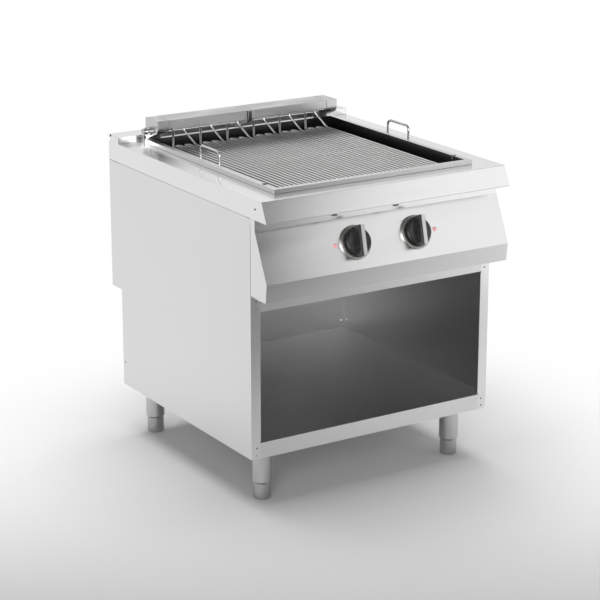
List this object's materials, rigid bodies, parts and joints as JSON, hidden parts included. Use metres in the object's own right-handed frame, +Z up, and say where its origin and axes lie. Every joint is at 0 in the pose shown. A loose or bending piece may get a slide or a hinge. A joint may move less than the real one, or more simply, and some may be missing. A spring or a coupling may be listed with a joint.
{
  "type": "charbroiler grill",
  "caption": "Electric charbroiler grill with hinged banks of tubular heating elements over a water tray, rotary controls and an open steel cabinet on levelling feet.",
  "frame": {"origin": "centre of the footprint on the floor, under the bounding box", "axes": "+X to the right seen from the front, +Y to the back, +Z up"},
  "size_m": [0.8024, 0.9252, 0.966],
  "materials": {
    "panel_steel": "satin stainless sheet",
    "control_panel_steel": "satin stainless sheet",
    "worktop_steel": "satin stainless sheet",
    "tray_steel": "satin stainless, pressed and welded",
    "bar_steel": "dull heat-tinted stainless strip",
    "hinge_steel": "satin stainless, folded",
    "shaft_steel": "bright turned steel",
    "element_sheath": "dull grey annealed sheath",
    "terminal_ceramic": "unglazed ceramic bead with a steel stud",
    "knob_bezel_metal": "satin, turned",
    "knob_plastic": "semi-gloss black",
    "knob_insert_metal": "bright brushed strip",
    "regulator_plastic": "moulded case",
    "lamp_lens": "translucent red lens",
    "bracket_steel": "galvanised sheet",
    "block_plastic": "moulded",
    "contactor_plastic": "moulded case",
    "gland_plastic": "moulded nylon",
    "dark_trim": "dark small parts",
    "leg_steel": "dull tube",
    "foot_steel": "dull turned foot"
  },
  "bodies": {
    "cabinet": {"left_side_panel": "panel_steel", "right_side_panel": "panel_steel", "back_panel": "panel_steel", "duct_panel": "panel_steel", "bottom_shelf": "panel_steel", "compartment_ceiling": "panel_steel", "top_rails": "panel_steel", "control_panel": "control_panel_steel", "worktop": "worktop_steel", "rear_ledge": "worktop_steel", "heat_shield": "panel_steel", "water_tray": "tray_steel", "left_tray_handle": "tray_steel", "right_tray_handle": "tray_steel", "element_rest_bar": "bar_steel", "left_bearing_housing": "hinge_steel", "right_bearing_housing": "hinge_steel", "centre_support": "hinge_steel", "left_hinge_shaft": "shaft_steel", "right_hinge_shaft": "shaft_steel", "hinge_shaft_nuts": "shaft_steel", "left_knob_bezel": "knob_bezel_metal", "right_knob_bezel": "knob_bezel_metal", "left_energy_regulator": "regulator_plastic", "right_energy_regulator": "regulator_plastic", "left_pilot_lamp": "lamp_lens", "right_pilot_lamp": "lamp_lens", "electrics_plate": "bracket_steel", "terminal_block": "block_plastic", "contactors": "contactor_plastic", "safety_thermostat": "block_plastic", "cable_gland": "gland_plastic", "skirt_clips": "dark_trim", "fixing_screws": "dark_trim", "leg_tubes": "leg_steel"},
    "left_heater_bank": {"left_hinge_cover": "hinge_steel", "left_cover_base": "hinge_steel", "left_element_1": "element_sheath", "left_element_2": "element_sheath", "left_element_3": "element_sheath", "left_element_combs": "bar_steel", "left_terminals": "terminal_ceramic"},
    "left_control": {"left_knob": "knob_plastic", "left_knob_insert": "knob_insert_metal", "left_control_shaft": "shaft_steel"},
    "right_heater_bank": {"right_hinge_cover": "hinge_steel", "right_cover_base": "hinge_steel", "right_element_1": "element_sheath", "right_element_2": "element_sheath", "right_element_3": "element_sheath", "right_element_combs": "bar_steel", "right_terminals": "terminal_ceramic"},
    "right_control": {"right_knob": "knob_plastic", "right_knob_insert": "knob_insert_metal", "right_control_shaft": "shaft_steel"},
    "foot_front_left_body": {"foot_front_left": "foot_steel"},
    "foot_front_right_body": {"foot_front_right": "foot_steel"},
    "foot_rear_left_body": {"foot_rear_left": "foot_steel"},
    "foot_rear_right_body": {"foot_rear_right": "foot_steel"}
  },
  "joints": [
    {"name": "left_bank_lift", "type": "hinge", "parent": "cabinet", "child": "left_heater_bank", "pos_m": [0, 0.3666, 0.93], "axis": [-1, 0, 0], "range_deg": [0, 65]},
    {"name": "right_bank_lift", "type": "hinge", "parent": "cabinet", "child": "right_heater_bank", "pos_m": [0, 0.3666, 0.93], "axis": [-1, 0, 0], "range_deg": [0, 65]},
    {"name": "left_knob_turn", "type": "hinge", "parent": "cabinet", "child": "left_control", "pos_m": [-0.1, -0.40679, 0.74037], "axis": [0, 0.9127, -0.4087], "range_deg": [0, 270]},
    {"name": "right_knob_turn", "type": "hinge", "parent": "cabinet", "child": "right_control", "pos_m": [0.1, -0.40679, 0.74037], "axis": [0, 0.9127, -0.4087], "range_deg": [0, 270]},
    {"name": "foot_front_left_screw", "type": "slide", "parent": "cabinet", "child": "foot_front_left_body", "axis": [0, 0, -1], "range_m": [0, 0.035]},
    {"name": "foot_front_right_screw", "type": "slide", "parent": "cabinet", "child": "foot_front_right_body", "axis": [0, 0, -1], "range_m": [0, 0.035]},
    {"name": "foot_rear_left_screw", "type": "slide", "parent": "cabinet", "child": "foot_rear_left_body", "axis": [0, 0, -1], "range_m": [0, 0.035]},
    {"name": "foot_rear_right_screw", "type": "slide", "parent": "cabinet", "child": "foot_rear_right_body", "axis": [0, 0, -1], "range_m": [0, 0.035]}
  ]
}
